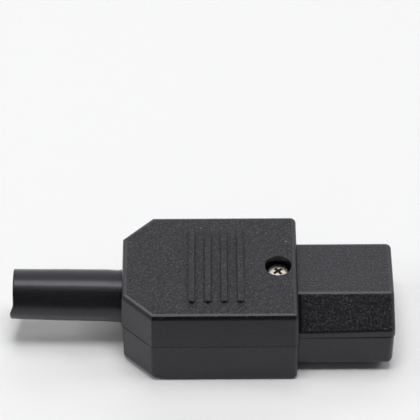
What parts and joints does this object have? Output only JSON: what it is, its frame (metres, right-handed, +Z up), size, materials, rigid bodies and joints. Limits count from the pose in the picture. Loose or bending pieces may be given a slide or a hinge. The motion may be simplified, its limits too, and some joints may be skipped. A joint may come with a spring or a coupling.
{
  "type": "rewireable appliance connector",
  "caption": "Black rewireable mains connector of the C13 pattern: a chamfered nose with blade slots, a ribbed screwed-together body with cut tail corners, and a hollow rubber cable boot.",
  "frame": {"origin": "under the middle of the whole length, on the surface the connector lies on", "axes": "+X along the connector towards the nose's mating face, +Y across it, +Z up out of the ribbed top; the cable leaves along -X"},
  "size_m": [0.0752, 0.0278, 0.0183],
  "materials": {
    "housing_plastic": "fine spark-eroded grain",
    "boot_rubber": "smooth satin",
    "contact_brass": "as rolled",
    "plated_steel": "nickel plated"
  },
  "bodies": {
    "root": {"upper_shell": "housing_plastic", "lower_shell": "housing_plastic", "cable_boot": "boot_rubber", "line_contact": "contact_brass", "neutral_contact": "contact_brass", "earth_contact": "contact_brass", "line_clamp_plate": "plated_steel", "neutral_clamp_plate": "plated_steel", "earth_clamp_plate": "plated_steel", "line_terminal_screw": "plated_steel", "neutral_terminal_screw": "plated_steel", "earth_terminal_screw": "plated_steel", "cable_saddle": "housing_plastic", "left_saddle_screw": "plated_steel", "right_saddle_screw": "plated_steel", "housing_screw": "plated_steel", "housing_nut": "plated_steel"}
  },
  "joints": []
}
